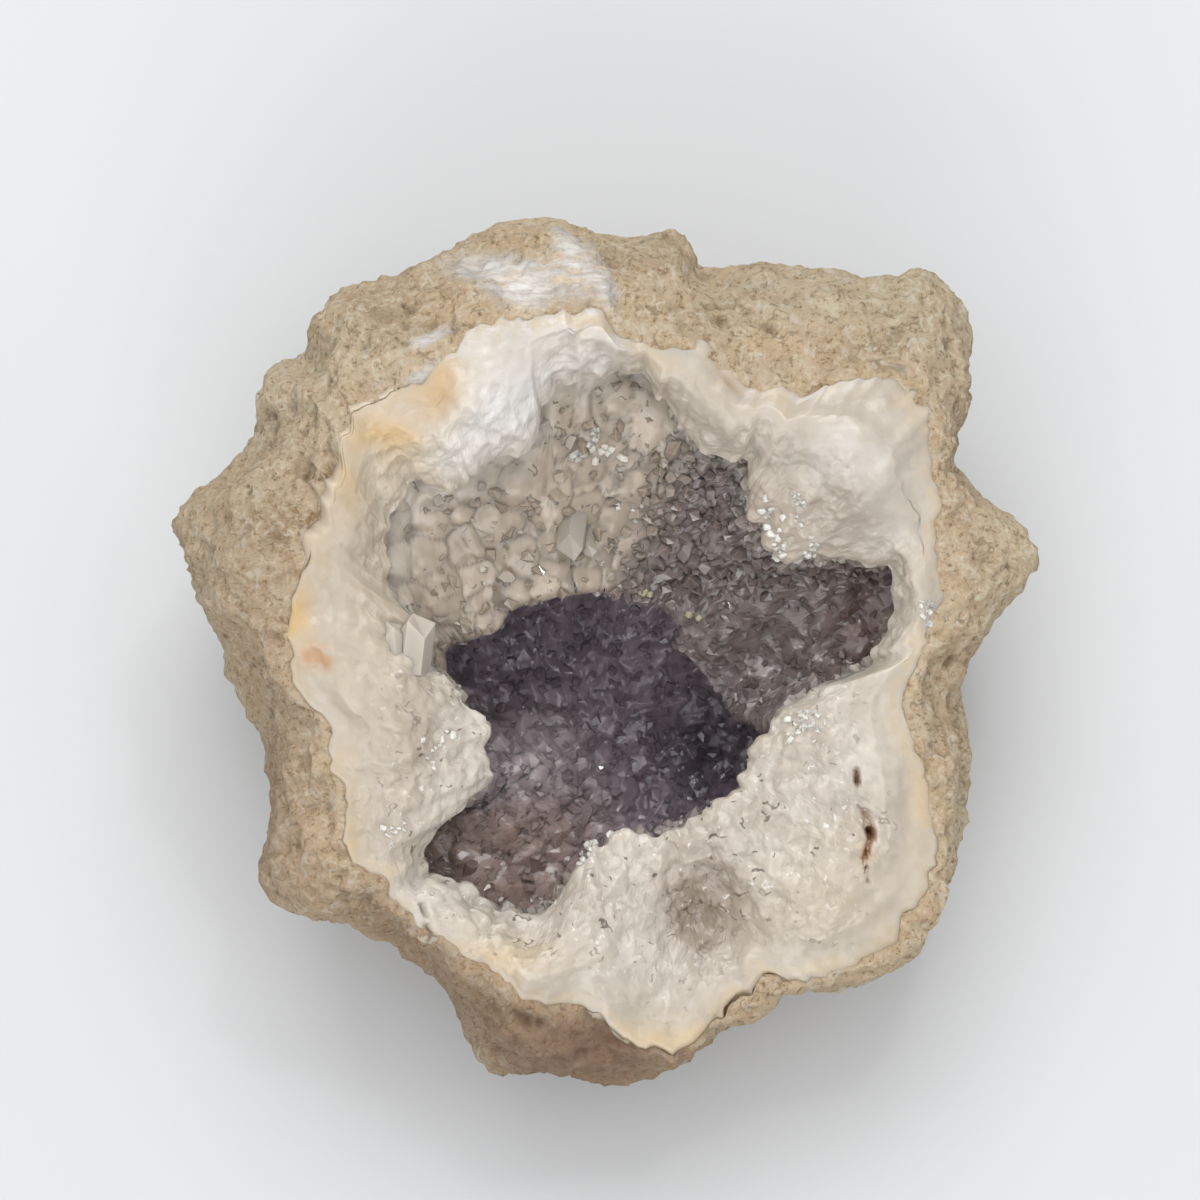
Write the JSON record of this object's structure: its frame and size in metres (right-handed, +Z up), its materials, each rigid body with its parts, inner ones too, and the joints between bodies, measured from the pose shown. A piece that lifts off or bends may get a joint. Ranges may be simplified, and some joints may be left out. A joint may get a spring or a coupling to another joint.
{
  "type": "geode half",
  "caption": "Half of a knobbly geode: a tan stone rind, a broken face of milky quartz and a deep hollow lined with pale purple quartz points.",
  "frame": {"origin": "middle of the bounding box's footprint, on the table plane", "axes": "+Z up, out of the hollow; the open face leans 12 degrees towards -Y, so -Y is the near side, with the low part of the rim; +X to the right"},
  "size_m": [0.1072, 0.1072, 0.0644],
  "materials": {
    "rind": "rough matt limestone with pits",
    "quartz_band": "sugary broken milky quartz, slightly translucent",
    "crystal_crust": "bright crystal faces, grey-beige to smoky purple"
  },
  "bodies": {
    "root": {"rind": "rind", "quartz_band": "quartz_band", "crystal_crust": "crystal_crust"}
  },
  "joints": []
}
